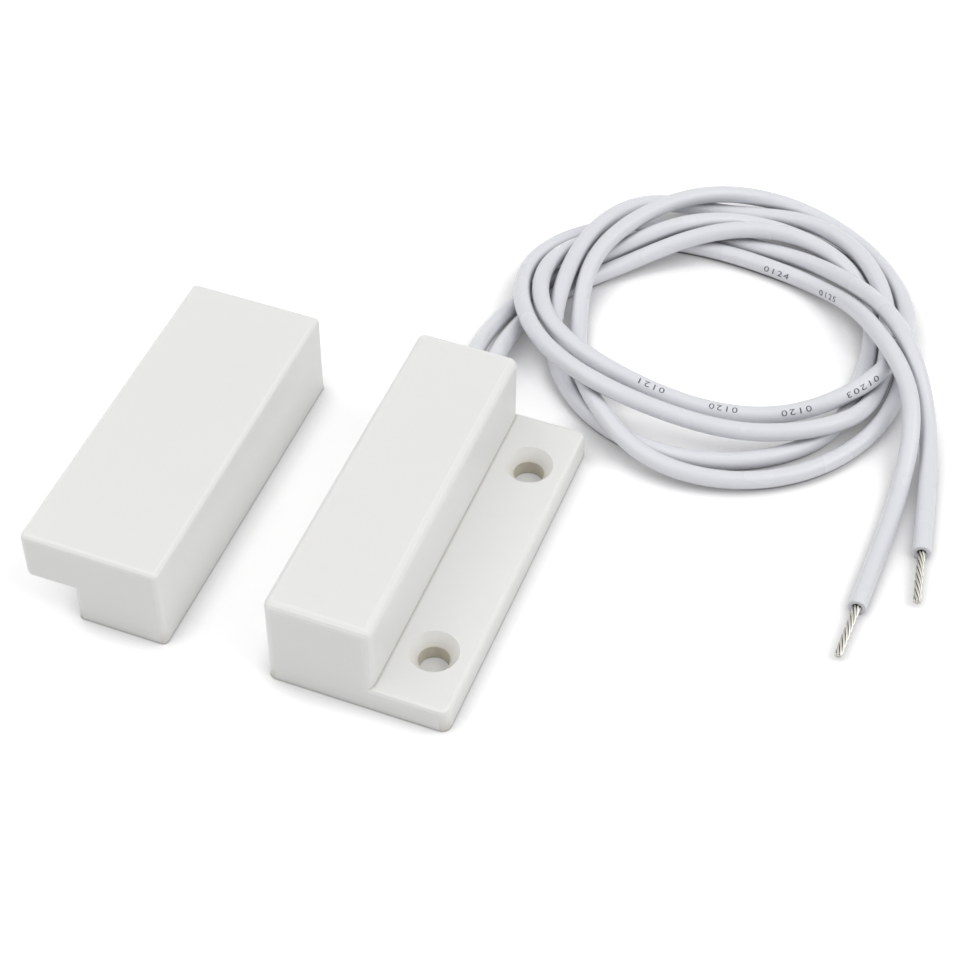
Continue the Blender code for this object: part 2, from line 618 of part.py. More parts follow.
def make_magnet(ferrite, resin):
    """The bar magnet in its pocket, and the resin plug that closes the pocket."""
    bm = cube_of((BAR_WIDTH, BAR_LENGTH, BAR_HEIGHT))
    round_edges(bm, list(bm.edges), BAR_EDGE, segments=2)
    add_mesh("bar_magnet", bm, ferrite, (BAR_X, MAGNET_Y, BAR_BOTTOM + BAR_HEIGHT / 2))
    half = BAR_WIDTH / 2 + POCKET_SIDE_ROOM - SEAT_GAP
    long = BAR_LENGTH / 2 + POCKET_SIDE_ROOM - SEAT_GAP
    box(
        "magnet_plug",
        (BAR_X - half, MAGNET_Y - long, POTTING_RECESS),
        (BAR_X + half, MAGNET_Y + long, POTTING_RECESS + PLUG_THICKNESS),
        resin,
    )


def main():
    clear_scene()
    plastic = material("white_plastic", (0.86, 0.86, 0.84), 0.42)
    insulation = material("lead_insulation", (0.78, 0.79, 0.83), 0.33)
    copper = material("tinned_copper", (0.66, 0.64, 0.61), 0.28, metallic=1.0)
    reed_metal = material("nickel_iron", (0.62, 0.60, 0.56), 0.30, metallic=1.0)
    glass = material("capsule_glass", (0.75, 0.88, 0.80), 0.05, transmission=0.9)
    resin = material("potting_resin", (0.80, 0.79, 0.74), 0.30)
    ferrite = material("ferrite", (0.05, 0.05, 0.055), 0.55)
    make_switch_housing(plastic)
    make_capsule(glass)
    make_reeds(reed_metal)
    make_splices(copper)
    make_inner_leads(insulation, copper)
    make_potting(resin)
    make_leads(insulation, copper)
    make_magnet_housing(plastic)
    make_magnet(ferrite, resin)


main()
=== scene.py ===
"""The looks of a magnetic door contact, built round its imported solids.

Metres, +Z up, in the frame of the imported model: both halves lie on the table, the switch
half with its screw flange to the right and its two leads leaving the back, the magnet half
with its wide mounting face up. The camera and the two leads come first.
"""

import logging
from dataclasses import dataclass, field
from enum import Enum
from math import cos, pi, radians, sin

import bmesh
import bpy
import numpy as np
from mathutils import Matrix, Vector


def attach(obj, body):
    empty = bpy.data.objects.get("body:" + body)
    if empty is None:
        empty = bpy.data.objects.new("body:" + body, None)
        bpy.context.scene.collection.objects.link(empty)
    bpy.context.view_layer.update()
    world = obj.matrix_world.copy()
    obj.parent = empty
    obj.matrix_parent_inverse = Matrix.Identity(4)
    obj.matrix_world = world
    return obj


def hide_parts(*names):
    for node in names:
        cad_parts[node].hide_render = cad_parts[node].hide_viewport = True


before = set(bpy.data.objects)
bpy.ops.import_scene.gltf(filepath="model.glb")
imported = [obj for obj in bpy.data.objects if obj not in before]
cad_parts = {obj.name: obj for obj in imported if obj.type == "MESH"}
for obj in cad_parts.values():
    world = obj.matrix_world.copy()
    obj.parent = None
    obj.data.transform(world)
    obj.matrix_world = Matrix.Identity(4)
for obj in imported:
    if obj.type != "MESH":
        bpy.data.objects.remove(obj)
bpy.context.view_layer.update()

MM = 0.001
FIXED_BODY = "halves"
FLAT_FACING = 0.9995  # the largest part of a flat face's direction is at least this
ROUND_FACING = 0.985  # and on a rounding it is at most this
SHELTER_SAMPLES = 12
NOISE_LOW, NOISE_HIGH = 0.3, 0.7  # where nearly all of a noise's values lie
MAX_SMOOTH_ANGLE = radians(40)
WELD = 0.0001 * MM  # points as near as this are one
ON_CUT = 0.00001 * MM  # points as near as this to a cut lie on it
NO_LENGTH = 1e-12

log = logging.getLogger("door_contact")

Rgb = tuple[float, float, float]
Point = tuple[float, float, float]
Points = np.ndarray


# --- Camera ---------------------------------------------------------------------------


@dataclass(frozen=True)
class PhotoCamera:
    """The viewpoint of the photograph, fitted to the corners of both halves."""

    aim: Point = (0.0147265, 0.0129434, 0.0)
    azimuth_deg: float = 20.928
    elevation_deg: float = 47.777
    roll_deg: float = 0.388
    distance: float = 0.26013
    focal_pixels: float = 2265.03
    frame_pixels: float = 962.0
    sensor_mm: float = 36.0
    nearest: float = 0.01
    farthest: float = 10.0

    def axes(self) -> tuple[Vector, Vector, Vector]:
        """The camera's own right, up and back directions.

        Returns:
            Three unit vectors in the frame of the model.
        """
        azimuth, elevation = radians(self.azimuth_deg), radians(self.elevation_deg)
        back = Vector(
            (sin(azimuth) * cos(elevation), -cos(azimuth) * cos(elevation), sin(elevation))
        )
        level = Vector((cos(azimuth), sin(azimuth), 0.0))
        over = back.cross(level)
        roll = radians(self.roll_deg)
        right = level * cos(roll) + over * sin(roll)
        up = over * cos(roll) - level * sin(roll)
        return right, up, back

    def build(self) -> bpy.types.Object:
        """Makes the camera and gives it to the scene.

        Returns:
            The camera object.
        """
        data = bpy.data.cameras.new("photo_camera")
        data.sensor_width = self.sensor_mm
        data.lens = self.focal_pixels * self.sensor_mm / self.frame_pixels
        data.clip_start, data.clip_end = self.nearest, self.farthest
        camera = bpy.data.objects.new("photo_camera", data)
        right, up, back = self.axes()
        turn = Matrix((right, up, back)).transposed().to_4x4()
        camera.matrix_world = Matrix.Translation(Vector(self.aim) + back * self.distance) @ turn
        bpy.context.scene.collection.objects.link(camera)
        bpy.context.scene.camera = camera
        return camera


# --- Shader nodes ---------------------------------------------------------------------


class Wiring:
    """Short calls that add and link the nodes of one tree."""

    def __init__(self, tree: bpy.types.NodeTree) -> None:
        """Keeps the tree and empties it.

        Args:
            tree: The node tree of a material, a world, a lamp or a group.
        """
        self.tree = tree
        self.tree.nodes.clear()
        self.placed = 0

    def add(self, kind: str, inputs: dict | None = None, **options: object) -> bpy.types.Node:
        """Adds one node.

        Args:
            kind: The node's type, without its common "ShaderNode" start.
            inputs: Values or sockets by input name or number.
            options: Properties of the node itself.

        Returns:
            The new node.
        """
        full = kind if kind.startswith("Node") else "ShaderNode" + kind
        node = self.tree.nodes.new(full)
        node.location = (self.placed % 8 * 220, -(self.placed // 8) * 320)
        self.placed += 1
        for name, value in options.items():
            setattr(node, name, value)
        for name, value in (inputs or {}).items():
            self.feed(node.inputs[name], value)
        return node

    def feed(self, socket: bpy.types.NodeSocket, value: object) -> None:
        """Links a socket to an input, or sets the input's value.

        Args:
            socket: The input.
            value: A socket to link, or a number, colour or vector.
        """
        if isinstance(value, bpy.types.NodeSocket):
            self.tree.links.new(value, socket)
        elif isinstance(value, tuple) and len(value) == 3 and socket.type == "RGBA":
            socket.default_value = (*value, 1.0)
        else:
            socket.default_value = value

    def maths(self, operation: str, *values: object) -> bpy.types.NodeSocket:
        """The result of a Math node, such as MULTIPLY, of the values in order."""
        return self.add("Math", dict(enumerate(values)), operation=operation).outputs[0]

    def noise(self, vector: object, scale: float, detail: float, rough: float) -> bpy.types.NodeSocket:
        """A noise between 0 and 1: detail is its octaves, rough how strong the fine ones are."""
        wanted = {"Vector": vector, "Scale": scale, "Detail": detail, "Roughness": rough}
        return self.add("TexNoise", wanted).outputs["Fac"]

    def span(
        self, value: object, low: object, high: object, start: float = 0.0, end: float = 1.0
    ) -> bpy.types.NodeSocket:
        """A value moved from the range low to high into start to end, and held there."""
        wanted = {"Value": value, "From Min": low, "From Max": high, "To Min": start, "To Max": end}
        return self.add("MapRange", wanted, clamp=True).outputs[0]

    def blend(self, share: object, first: object, second: object) -> bpy.types.NodeSocket:
        """Two colours mixed by a share.

        Args:
            share: 0 for the first colour, 1 for the second.
            first: A colour or socket.
            second: A colour or socket.

        Returns:
            The colour socket.
        """
        node = self.add("Mix", data_type="RGBA")
        self.feed(node.inputs[0], share)
        self.feed(node.inputs[6], first)
        self.feed(node.inputs[7], second)
        return node.outputs[2]

    def seen(self) -> bpy.types.NodeSocket:
        """Which rays see the background itself.

        Returns:
            The value socket: 1 from the camera, in a reflection or through glass, otherwise 0.
        """
        rays = self.add("LightPath").outputs
        direct = self.maths("MAXIMUM", rays["Is Camera Ray"], rays["Is Glossy Ray"])
        return self.maths("MAXIMUM", direct, rays["Is Transmission Ray"])

    def shelter(self, reach: object, low: object, high: object, samples: int) -> bpy.types.NodeSocket:
        """How shut in by surfaces within reach: 0 where the share low is open, 1 at high."""
        near = self.add("AmbientOcclusion", {"Distance": reach}, samples=samples)
        return self.span(near.outputs["AO"], low, high)


class SharedEffect(Enum):
    """The surface effects that several finishes use, each one a node group."""

    MOULD_GRAIN = "mould_grain"
    EDGE_SHINE = "edge_shine"
    SHELTER = "shelter"
    DRAWN_LINES = "drawn_lines"


def make_group(effect: SharedEffect, outputs: tuple[str, ...], **inputs: float) -> Wiring:
    """An empty group with its number sockets.

    Args:
        effect: Which effect the group is for.
        outputs: The outputs' names.
        inputs: The inputs' own values, with underscores for spaces.

    Returns:
        The group's wiring.
    """
    tree = bpy.data.node_groups.new(effect.value, "ShaderNodeTree")
    for name, value in inputs.items():
        made = tree.interface.new_socket(name=titled(name), in_out="INPUT", socket_type="NodeSocketFloat")
        made.default_value = value
    for name in outputs:
        tree.interface.new_socket(name=name, in_out="OUTPUT", socket_type="NodeSocketFloat")
    return Wiring(tree)


def titled(name: str) -> str:
    """An argument's name as a socket's name."""
    return name.replace("_", " ").title()


def make_mould_grain() -> bpy.types.NodeTree:
    """Faint flow tone, satin patches and fine grain of a moulded surface.

    Returns:
        The group: Flow, Satin and Height, each round 0 to 1.
    """
    wires = make_group(
        SharedEffect.MOULD_GRAIN, ("Flow", "Satin", "Height"),
        flow_scale=60.0, satin_scale=400.0, grain_scale=9000.0,
    )
    given = wires.add("NodeGroupInput").outputs
    place = wires.add("TexCoord").outputs["Object"]
    flow = wires.noise(place, given["Flow Scale"], detail=3.0, rough=0.45)
    satin = wires.noise(place, given["Satin Scale"], detail=4.0, rough=0.55)
    grain = wires.noise(place, given["Grain Scale"], detail=2.0, rough=0.5)
    wires.add("NodeGroupOutput", {"Flow": flow, "Satin": satin, "Height": grain})
    return wires.tree


def make_edge_shine() -> bpy.types.NodeTree:
    """A mask of the rounded edges, a little uneven, where a moulding gets a painted highlight.

    Returns:
        The group: Mask is near 1 on a rounding and 0 on a flat face, and Turned is the
        same without the unevenness.
    """
    wires = make_group(SharedEffect.EDGE_SHINE, ("Mask", "Turned"))
    facing = wires.add("NewGeometry").outputs["True Normal"]
    turned = wires.add(
        "VectorTransform", {0: facing}, vector_type="NORMAL", convert_from="WORLD", convert_to="OBJECT"
    ).outputs[0]
    size = wires.add("VectorMath", {0: turned}, operation="ABSOLUTE").outputs[0]
    parts = wires.add("SeparateXYZ", {0: size})
    most = wires.maths("MAXIMUM", parts.outputs[1], parts.outputs[2])
    most = wires.maths("MAXIMUM", parts.outputs[0], most)
    edge = wires.span(most, FLAT_FACING, ROUND_FACING)
    place = wires.add("TexCoord").outputs["Object"]
    spots = wires.noise(place, scale=500.0, detail=4.0, rough=0.6)
    broken = wires.span(spots, NOISE_LOW, NOISE_HIGH, start=0.6)
    mask = wires.maths("MULTIPLY", edge, broken)
    wires.add("NodeGroupOutput", {"Mask": mask, "Turned": edge})
    return wires.tree


def make_shelter() -> bpy.types.NodeTree:
    """How shut in a place is by surfaces close to it.

    Returns:
        The group: Shut is 0 in the open and 1 deep in a hole or a corner.
    """
    wires = make_group(SharedEffect.SHELTER, ("Shut",), reach=0.002, open_at=0.7, shut_at=0.25)
    given = wires.add("NodeGroupInput").outputs
    shut = wires.shelter(given["Reach"], given["Open At"], given["Shut At"], SHELTER_SAMPLES)
    wires.add("NodeGroupOutput", {"Shut": shut})
    return wires.tree


def make_drawn_lines() -> bpy.types.NodeTree:
    """Fine lines along a drawn or extruded surface, read from its own map.

    Returns:
        The group: Lines and Patch, each round 0 to 1.
    """
    wires = make_group(SharedEffect.DRAWN_LINES, ("Lines", "Patch"), across=5.0, along=0.05)
    given = wires.add("NodeGroupInput").outputs
    where = wires.add("UVMap", uv_map=Tube.MAP)
    parts = wires.add("SeparateXYZ", {0: where.outputs[0]})
    angle = wires.maths("MULTIPLY", parts.outputs[0], 2 * pi)
    ring_x = wires.maths("MULTIPLY", wires.maths("COSINE", angle), given["Across"])
    ring_y = wires.maths("MULTIPLY", wires.maths("SINE", angle), given["Across"])
    run = wires.maths("MULTIPLY", parts.outputs[1], given["Along"])
    place = wires.add("CombineXYZ", {0: ring_x, 1: ring_y, 2: run}).outputs[0]
    lines = wires.noise(place, scale=1.0, detail=3.0, rough=0.5)
    body = wires.add("TexCoord").outputs["Object"]
    patch = wires.noise(body, scale=180.0, detail=1.0, rough=0.4)
    wires.add("NodeGroupOutput", {"Lines": lines, "Patch": patch})
    return wires.tree


class EffectShelf:
    """Makes each shared effect once and places it in a material."""

    MAKERS = {
        SharedEffect.MOULD_GRAIN: make_mould_grain,
        SharedEffect.EDGE_SHINE: make_edge_shine,
        SharedEffect.SHELTER: make_shelter,
        SharedEffect.DRAWN_LINES: make_drawn_lines,
    }

    def __init__(self) -> None:
        """Starts with no effect made."""
        self.made: dict[SharedEffect, bpy.types.NodeTree] = {}

    def place(self, wires: Wiring, effect: SharedEffect, **values: float) -> bpy.types.Node:
        """Adds an effect to a material.

        Args:
            wires: The material's wiring.
            effect: Which effect.
            values: Input values, with underscores for spaces.

        Returns:
            The group node.
        """
        if effect not in self.made:
            self.made[effect] = self.MAKERS[effect]()
        node = wires.add("Group", node_tree=self.made[effect])
        for name, value in values.items():
            node.inputs[titled(name)].default_value = value
        return node


# --- Finishes -------------------------------------------------------------------------


@dataclass(frozen=True)
class Finish:
    """What every finish has: a name, a colour and how rough it is, and how much these vary."""

    name: str
    colour: Rgb
    roughness: float
    roughness_swing: float = 0.06
    tones: tuple[float, float] = (1.0, 1.0)

    def start(self) -> tuple[bpy.types.Material, Wiring, bpy.types.Node]:
        """A material with its shader and nothing else.

        Returns:
            The material, its wiring and its shader node.
        """
        surface = bpy.data.materials.new(self.name)
        surface.use_nodes = True
        surface.diffuse_color = (*self.colour, 1.0)
        wires = Wiring(surface.node_tree)
        shader = wires.add("BsdfPrincipled")
        wires.add("OutputMaterial", {"Surface": shader.outputs[0]})
        return surface, wires, shader

    def tint(self, share: float) -> Rgb:
        """The colour made lighter or darker by a share."""
        return tuple(min(1.0, part * share) for part in self.colour)

    def toned(self, wires: Wiring, noise: bpy.types.NodeSocket) -> bpy.types.NodeSocket:
        """The colour, between its darkest and lightest tone by a noise."""
        return wires.blend(noise, self.tint(self.tones[0]), self.tint(self.tones[1]))

    def roughen(self, wires: Wiring, shader: bpy.types.Node, noise: bpy.types.NodeSocket) -> None:
        """Lets the roughness swing a little with a noise.

        Args:
            wires: The material's wiring.
            shader: The material's shader.
            noise: The noise's value.
        """
        low, high = self.roughness - self.roughness_swing, self.roughness + self.roughness_swing
        rough = wires.span(noise, NOISE_LOW, NOISE_HIGH, low, high)
        wires.feed(shader.inputs["Roughness"], rough)

    def bump(
        self, wires: Wiring, shader: bpy.types.Node, height: bpy.types.NodeSocket, strength: float,
        depth: float,
    ) -> None:
        """Gives the surface a fine relief, from a height round 0 to 1 and a depth in metres."""
        relief = wires.add("Bump", {"Height": height, "Strength": strength, "Distance": depth})
        wires.feed(shader.inputs["Normal"], relief.outputs[0])


@dataclass(frozen=True)
class MilkyFinish(Finish):
    """A plastic that light enters a little way."""

    glow: float = 0.25
    glow_reach: float = 1.2 * MM
    glow_tint: Rgb = (1.0, 0.95, 0.88)

    def let_light_in(self, shader: bpy.types.Node) -> None:
        """Sets how much light enters, how far and in what tint.

        Args:
            shader: The material's shader.
        """
        shader.inputs["Subsurface Weight"].default_value = self.glow
        shader.inputs["Subsurface Radius"].default_value = self.glow_tint
        shader.inputs["Subsurface Scale"].default_value = self.glow_reach


@dataclass(frozen=True)
class MouldedPlastic(MilkyFinish):
    """Satin plastic: painted edge highlights, painted warm shade in holes, painted shade in creases."""

    tones: tuple[float, float] = (0.988, 1.012)
    grain_depth: float = 0.02 * MM
    grain_strength: float = 0.35
    painted_highlight_share: float = 1.035
    painted_hole_shade: Rgb = (0.66, 0.625, 0.53)
    deep_at: float = 0.86
    painted_crease_shade: Rgb = (0.60, 0.59, 0.56)

    def build(self, effects: EffectShelf) -> bpy.types.Material:
        """The material.

        Args:
            effects: The shared effects.

        Returns:
            The material.
        """
        surface, wires, shader = self.start()
        grain = effects.place(wires, SharedEffect.MOULD_GRAIN)
        edge = effects.place(wires, SharedEffect.EDGE_SHINE)
        hole = effects.place(wires, SharedEffect.SHELTER, reach=0.004, open_at=0.85, shut_at=0.35)
        crease = effects.place(wires, SharedEffect.SHELTER, reach=0.0004, open_at=0.92, shut_at=0.5)
        tone = self.toned(wires, grain.outputs["Flow"])
        # painted highlight: the rounded edges are made lighter
        tone = wires.blend(edge.outputs["Mask"], tone, self.tint(self.painted_highlight_share))
        # painted shade: creases are darkened where nearby surfaces shut them in
        tone = wires.blend(crease.outputs["Shut"], tone, self.painted_crease_shade)
        # painted shade: a warm darker colour in holes, on their turned walls and where they are deepest
        inside = wires.maths("MULTIPLY", hole.outputs["Shut"], edge.outputs["Turned"])
        deep = wires.span(hole.outputs["Shut"], self.deep_at, 1.0)
        inside = wires.maths("MAXIMUM", inside, deep)
        wires.feed(shader.inputs["Base Color"], wires.blend(inside, tone, self.painted_hole_shade))
        self.roughen(wires, shader, grain.outputs["Satin"])
        self.bump(wires, shader, grain.outputs["Height"], self.grain_strength, self.grain_depth)
        self.let_light_in(shader)
        return surface


@dataclass(frozen=True)
class ExtrudedSkin(MilkyFinish):
    """The semi-gloss insulation of a lead, with faint lines along it and painted shade where it is shut
    in.
    """

    tones: tuple[float, float] = (0.985, 1.01)
    glow: float = 0.05
    glow_reach: float = 0.5 * MM
    glow_tint: Rgb = (0.9, 0.95, 1.0)
    line_depth: float = 0.01 * MM
    line_strength: float = 0.15
    painted_shade_colour: Rgb = (0.42, 0.42, 0.45)

    def build(self, effects: EffectShelf) -> bpy.types.Material:
        """The material.

        Args:
            effects: The shared effects.

        Returns:
            The material.
        """
        surface, wires, shader = self.start()
        drawn = effects.place(wires, SharedEffect.DRAWN_LINES)
        shelter = effects.place(wires, SharedEffect.SHELTER, reach=0.0016, open_at=0.66, shut_at=0.2)
        tone = self.toned(wires, drawn.outputs["Patch"])
        # painted shade: the insulation is darkened where nearby surfaces shut it in
        tone = wires.blend(shelter.outputs["Shut"], tone, self.painted_shade_colour)
        wires.feed(shader.inputs["Base Color"], tone)
        self.roughen(wires, shader, drawn.outputs["Patch"])
        self.bump(wires, shader, drawn.outputs["Lines"], self.line_strength, self.line_depth)
        self.let_light_in(shader)
        return surface


@dataclass(frozen=True)
class PrintedInk(Finish):
    """Thin grey ink, worn lighter in small patches."""

    worn: Rgb = (0.22, 0.22, 0.25)
    wear_starts: float = 0.45

    def build(self, effects: EffectShelf) -> bpy.types.Material:
        """The material.

        Args:
            effects: The shared effects.

        Returns:
            The material.
        """
        surface, wires, shader = self.start()
        grain = effects.place(wires, SharedEffect.MOULD_GRAIN, flow_scale=900.0, satin_scale=2500.0)
        wear = wires.span(grain.outputs["Satin"], self.wear_starts, NOISE_HIGH)
        wires.feed(shader.inputs["Base Color"], wires.blend(wear, self.colour, self.worn))
        self.roughen(wires, shader, grain.outputs["Flow"])
        return surface


@dataclass(frozen=True)
class BrightMetal(Finish):
    """Tinned or plain wire: bright, tarnished in patches, with painted shade in its hollows."""

    tarnish: Rgb = (0.42, 0.39, 0.34)
    tarnish_share: float = 0.35
    tarnish_from: tuple[float, float] = (0.42, 0.68)
    painted_groove_shade: Rgb = (0.10, 0.095, 0.085)
    grain_depth: float = 0.01 * MM
    grain_strength: float = 0.3

    def build(self, effects: EffectShelf) -> bpy.types.Material:
        """The material.

        Args:
            effects: The shared effects.

        Returns:
            The material.
        """
        surface, wires, shader = self.start()
        grain = effects.place(wires, SharedEffect.MOULD_GRAIN, flow_scale=500.0, satin_scale=2500.0)
        patch = wires.span(grain.outputs["Flow"], *self.tarnish_from, end=self.tarnish_share)
        painted_groove_shade = effects.place(wires, SharedEffect.SHELTER, reach=0.00025, open_at=0.85, shut_at=0.4)
        tone = wires.blend(patch, self.colour, self.tarnish)
        # painted shade: darker where strands meet and where other surfaces shut the metal in
        wires.feed(shader.inputs["Base Color"], wires.blend(painted_groove_shade.outputs["Shut"], tone, self.painted_groove_shade))
        self.roughen(wires, shader, grain.outputs["Satin"])
        self.bump(wires, shader, grain.outputs["Satin"], self.grain_strength, self.grain_depth)
        shader.inputs["Metallic"].default_value = 1.0
        return surface


@dataclass(frozen=True)
class SealGlass(Finish):
    """The capsule's clear glass, faintly green."""

    tones: tuple[float, float] = (0.96, 1.02)
    clearest: float = 0.02
    bending: float = 1.5

    def build(self, effects: EffectShelf) -> bpy.types.Material:
        """The material.

        Args:
            effects: The shared effects.

        Returns:
            The material.
        """
        surface, wires, shader = self.start()
        grain = effects.place(wires, SharedEffect.MOULD_GRAIN, flow_scale=300.0)
        wires.feed(shader.inputs["Base Color"], self.toned(wires, grain.outputs["Flow"]))
        high = self.roughness + self.roughness_swing
        rough = wires.span(grain.outputs["Satin"], NOISE_LOW, NOISE_HIGH, self.clearest, high)
        wires.feed(shader.inputs["Roughness"], rough)
        shader.inputs["Transmission Weight"].default_value = 1.0
        shader.inputs["IOR"].default_value = self.bending
        return surface


@dataclass(frozen=True)
class GroundFerrite(Finish):
    """Dark sintered ferrite with ground faces and lighter edges."""

    tones: tuple[float, float] = (0.7, 1.3)
    lighter_edge: Rgb = (0.12, 0.12, 0.13)
    grain_depth: float = 0.03 * MM
    grain_strength: float = 0.6

    def build(self, effects: EffectShelf) -> bpy.types.Material:
        """The material.

        Args:
            effects: The shared effects.

        Returns:
            The material.
        """
        surface, wires, shader = self.start()
        grain = effects.place(wires, SharedEffect.MOULD_GRAIN, grain_scale=4000.0)
        edge = effects.place(wires, SharedEffect.EDGE_SHINE)
        tone = self.toned(wires, grain.outputs["Satin"])
        # the rounded edges are made lighter
        wires.feed(shader.inputs["Base Color"], wires.blend(edge.outputs["Mask"], tone, self.lighter_edge))
        self.roughen(wires, shader, grain.outputs["Satin"])
        self.bump(wires, shader, grain.outputs["Height"], self.grain_strength, self.grain_depth)
        return surface


class FinishShelf:
    """Every finish of the object, made once."""

    def __init__(self) -> None:
        """Builds the materials."""
        effects = EffectShelf()
        self.plastic = MouldedPlastic("white_abs", (0.86, 0.86, 0.845), 0.40).build(effects)
        self.skin = ExtrudedSkin("lead_pvc", (0.795, 0.805, 0.845), 0.27, 0.006).build(effects)
        self.ink = PrintedInk("print_ink", (0.065, 0.065, 0.078), 0.45).build(effects)
        self.tin = BrightMetal("tinned_strand", (0.60, 0.585, 0.55), 0.20, 0.06).build(effects)
        self.reed = BrightMetal(
            "reed_metal", (0.62, 0.60, 0.56), 0.30, 0.06, tarnish=(0.5, 0.48, 0.42)
        ).build(effects)
        self.glass = SealGlass("seal_glass", (0.80, 0.92, 0.85), 0.05, 0.03).build(effects)
        self.resin = MouldedPlastic(
            "cast_resin", (0.80, 0.79, 0.74), 0.26, 0.08, tones=(0.97, 1.03), glow=0.4
        ).build(effects)
        self.ferrite = GroundFerrite("sintered_ferrite", (0.05, 0.05, 0.055), 0.5, 0.1).build(effects)


# --- Meshes ---------------------------------------------------------------------------


def add_piece(
    name: str, mesh: bpy.types.Mesh, surface: bpy.types.Material
) -> bpy.types.Object:
    """Puts a mesh in the scene as a piece of the fixed body.

    Args:
        name: The piece's name.
        mesh: Its mesh.
        surface: Its material.

    Returns:
        The new object.
    """
    mesh.materials.append(surface)
    piece = bpy.data.objects.new(name, mesh)
    bpy.context.scene.collection.objects.link(piece)
    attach(piece, FIXED_BODY)
    return piece


def smooth_curve(route: list[Point], count: int) -> Points:
    """Even steps along the natural cubic curve through the route's points.

    Args:
        route: The points.
        count: How many steps' ends are wanted.

    Returns:
        The places along the curve, one a row.
    """
    points = np.array(route)
    chord = np.linalg.norm(np.diff(points, axis=0), axis=1)
    knots = np.concatenate(([0.0], np.cumsum(chord)))
    last = len(points) - 1
    matrix = np.eye(last + 1)
    right = np.zeros_like(points)
    for i in range(1, last):
        before, after = chord[i - 1], chord[i]
        matrix[i, i - 1 : i + 2] = before, 2 * (before + after), after
        rise = (points[i + 1] - points[i]) / after
        right[i] = 6 * (rise - (points[i] - points[i - 1]) / before)
    bend = np.linalg.solve(matrix, right)
    at = np.linspace(0.0, knots[-1], count)
    span = np.clip(np.searchsorted(knots, at, side="right") - 1, 0, last - 1)
    width = chord[span][:, None]
    up = (at - knots[span])[:, None]
    down = width - up
    curve = (bend[span] * down**3 + bend[span + 1] * up**3) / (6 * width)
    curve += (points[span] / width - bend[span] * width / 6) * down
    curve += (points[span + 1] / width - bend[span + 1] * width / 6) * up
    return curve


@dataclass
class Tube:
    """A round mesh along a line of points, with a map of turn and run on it."""

    points: Points
    radii: Points
    sides: int = 32
    MAP = "turn_and_run"

    def __post_init__(self) -> None:
        """Works out the directions and the run along the line."""
        steps = np.linalg.norm(np.diff(self.points, axis=0), axis=1)
        self.run = np.concatenate(([0.0], np.cumsum(steps)))
        ahead = np.gradient(self.points, axis=0)
        ahead[np.linalg.norm(ahead, axis=1) < NO_LENGTH] = ahead[-1]
        self.along = ahead / np.linalg.norm(ahead, axis=1)[:, None]
        side = np.cross(self.along, (0.0, 0.0, 1.0))
        self.side = side / np.linalg.norm(side, axis=1)[:, None]
        self.over = np.cross(self.side, self.along)

    def ring(self, index: int, turn: np.ndarray) -> Points:
        """Places round one point of the line, at angles from the side towards the top."""
        out = np.cos(turn)[:, None] * self.side[index] + np.sin(turn)[:, None] * self.over[index]
        return self.points[index] + self.radii[index] * out

    def on_surface(self, run: float, turn: float, lift: float) -> Point:
        """A place on or near the round surface.

        Args:
            run: How far along the line, in metres.
            turn: The angle from the side towards the top, in radians.
            lift: How far outside the surface.

        Returns:
            The place.
        """
        def at(values: Points) -> Points:
            """The values at this run, one number for each column."""
            return np.array([np.interp(run, self.run, column) for column in values.T])

        out = cos(turn) * at(self.side) + sin(turn) * at(self.over)
        return tuple(at(self.points) + (float(np.interp(run, self.run, self.radii)) + lift) * out)

    def mesh(self, name: str) -> bpy.types.Mesh:
        """The tube's mesh, closed at both ends.

        Args:
            name: The mesh's name.

        Returns:
            The mesh, with round faces smooth.
        """
        turn = np.linspace(0.0, 2 * pi, self.sides, endpoint=False)
        rows = len(self.points)
        places = np.concatenate([self.ring(i, turn) for i in range(rows)])
        faces = []
        for row in range(rows - 1):
            for column in range(self.sides):
                after = (column + 1) % self.sides
                base = row * self.sides
                faces.append(
                    (base + column, base + column + self.sides, base + after + self.sides, base + after)
                )
        faces.append(tuple(range(self.sides)))
        faces.append(tuple(reversed(range((rows - 1) * self.sides, rows * self.sides))))
        mesh = bpy.data.meshes.new(name)
        mesh.from_pydata(places.tolist(), [], faces)
        layer = mesh.uv_layers.new(name=self.MAP)
        for face in mesh.polygons:
            seam = face.index % self.sides == self.sides - 1 and face.index < len(faces) - 2
            for loop in face.loop_indices:
                vertex = mesh.loops[loop].vertex_index
                row, column = divmod(vertex, self.sides)
                share = column / self.sides
                if seam and column == 0:
                    share = 1.0
                layer.data[loop].uv = (share, self.run[row] / MM)
        mesh.shade_smooth()
        mesh.set_sharp_from_angle(angle=MAX_SMOOTH_ANGLE)
        mesh.validate()
        mesh.update()
        return mesh


# --- Leads ----------------------------------------------------------------------------


